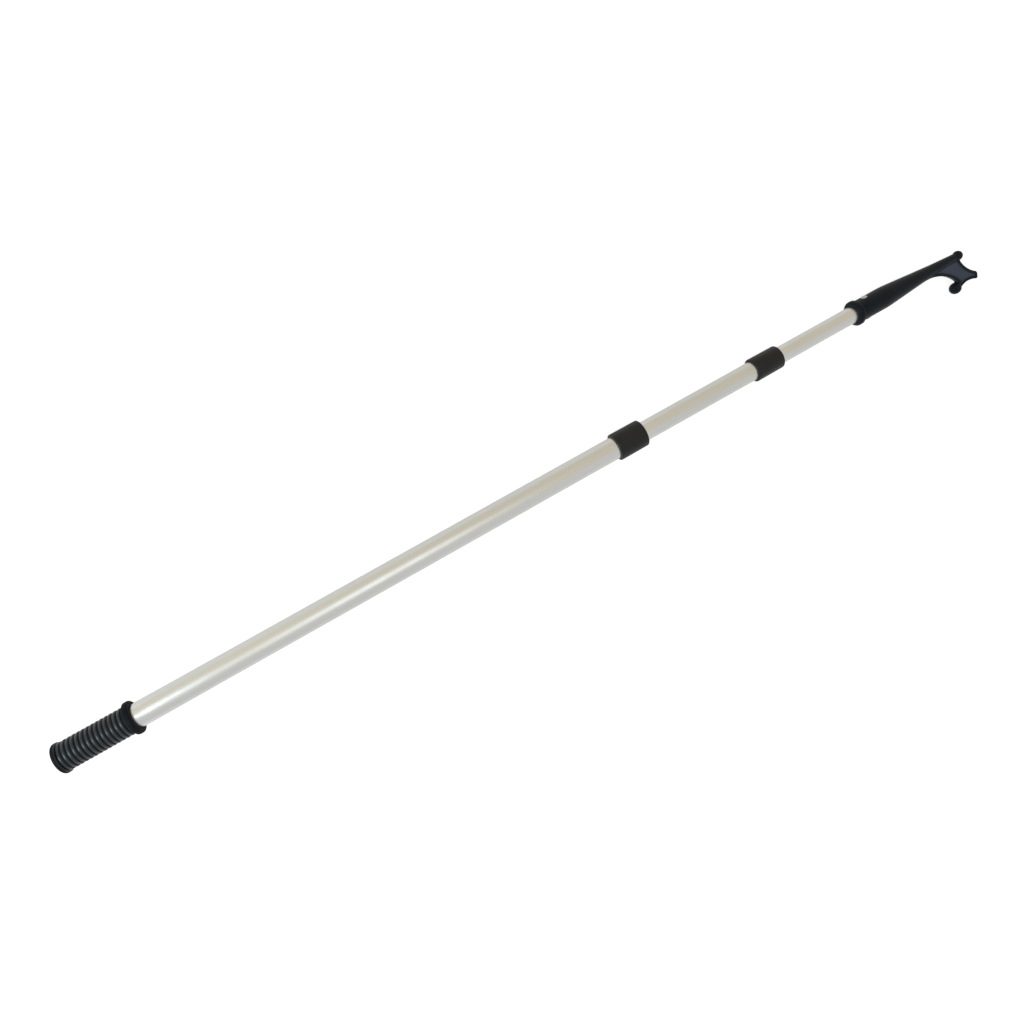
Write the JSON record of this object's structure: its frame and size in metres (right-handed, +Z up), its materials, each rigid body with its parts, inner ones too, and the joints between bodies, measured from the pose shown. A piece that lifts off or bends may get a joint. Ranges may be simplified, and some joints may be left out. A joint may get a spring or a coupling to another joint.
{
  "type": "telescoping boat hook",
  "caption": "Telescoping boat hook lying partly drawn out: ribbed hand grip, aluminium tubes joined by collars with hidden twist locks, and a moulded hook head.",
  "frame": {"origin": "middle of the hand grip's flat butt face, on the pole's axis", "axes": "+X along the pole from the grip to the hook, +Z up as it lies on a flat surface, the hook opens towards -Y and a little down"},
  "size_m": [1.4568, 0.0776, 0.0444],
  "materials": {
    "grip_rubber": "matt black ribbed rubber",
    "tube_aluminium": "satin anodised, drawn lengthwise",
    "collar_plastic": "black moulded plastic, semi-matt",
    "head_plastic": "black moulded plastic, fine grain",
    "rivet_metal": "bright",
    "lock_nylon": "natural nylon",
    "ring_rubber": "soft black rubber",
    "steel": "stainless"
  },
  "bodies": {
    "outer_section": {"hand_grip": "grip_rubber", "butt_plug": "collar_plastic", "outer_tube": "tube_aluminium", "outer_collar": "collar_plastic"},
    "middle_lock": {"middle_expander_sleeve": "lock_nylon", "middle_drag_ring": "ring_rubber"},
    "middle_cone": {"middle_cone_nut": "lock_nylon"},
    "middle_section": {"middle_tube": "tube_aluminium", "middle_end_plug": "lock_nylon", "middle_plug_pin": "steel", "middle_stud": "steel", "middle_stud_nut": "steel", "middle_thrust_washer": "lock_nylon", "middle_collar": "collar_plastic"},
    "inner_lock": {"inner_expander_sleeve": "lock_nylon", "inner_drag_ring": "ring_rubber"},
    "inner_cone": {"inner_cone_nut": "lock_nylon"},
    "inner_section": {"inner_tube": "tube_aluminium", "inner_end_plug": "lock_nylon", "inner_plug_pin": "steel", "inner_stud": "steel", "inner_stud_nut": "steel", "inner_thrust_washer": "lock_nylon", "hook_head": "head_plastic", "hook_rivet": "rivet_metal", "rivet_washer": "rivet_metal"}
  },
  "joints": [
    {"name": "middle_slide", "type": "slide", "parent": "outer_section", "child": "middle_lock", "axis": [1, 0, 0], "range_m": [-0.1895, 0.44]},
    {"name": "middle_twist", "type": "hinge", "parent": "middle_lock", "child": "middle_section", "pos_m": [0.2841, 0, 0], "axis": [1, 0, 0], "range_deg": [0, 360]},
    {"name": "middle_cone_draw", "type": "slide", "parent": "middle_lock", "child": "middle_cone", "axis": [-1, 0, 0], "range_m": [0, 0.00126]},
    {"name": "inner_slide", "type": "slide", "parent": "middle_section", "child": "inner_lock", "axis": [1, 0, 0], "range_m": [-0.138, 0.446]},
    {"name": "inner_twist", "type": "hinge", "parent": "inner_lock", "child": "inner_section", "pos_m": [0.5126, 0, 0], "axis": [1, 0, 0], "range_deg": [0, 360]},
    {"name": "inner_cone_draw", "type": "slide", "parent": "inner_lock", "child": "inner_cone", "axis": [-1, 0, 0], "range_m": [0, 0.00126]}
  ],
  "couplings": [
    {"joint": "middle_cone_draw", "follows": "middle_twist", "m_per_rad": 0.00019894},
    {"joint": "inner_cone_draw", "follows": "inner_twist", "m_per_rad": 0.00019894}
  ]
}
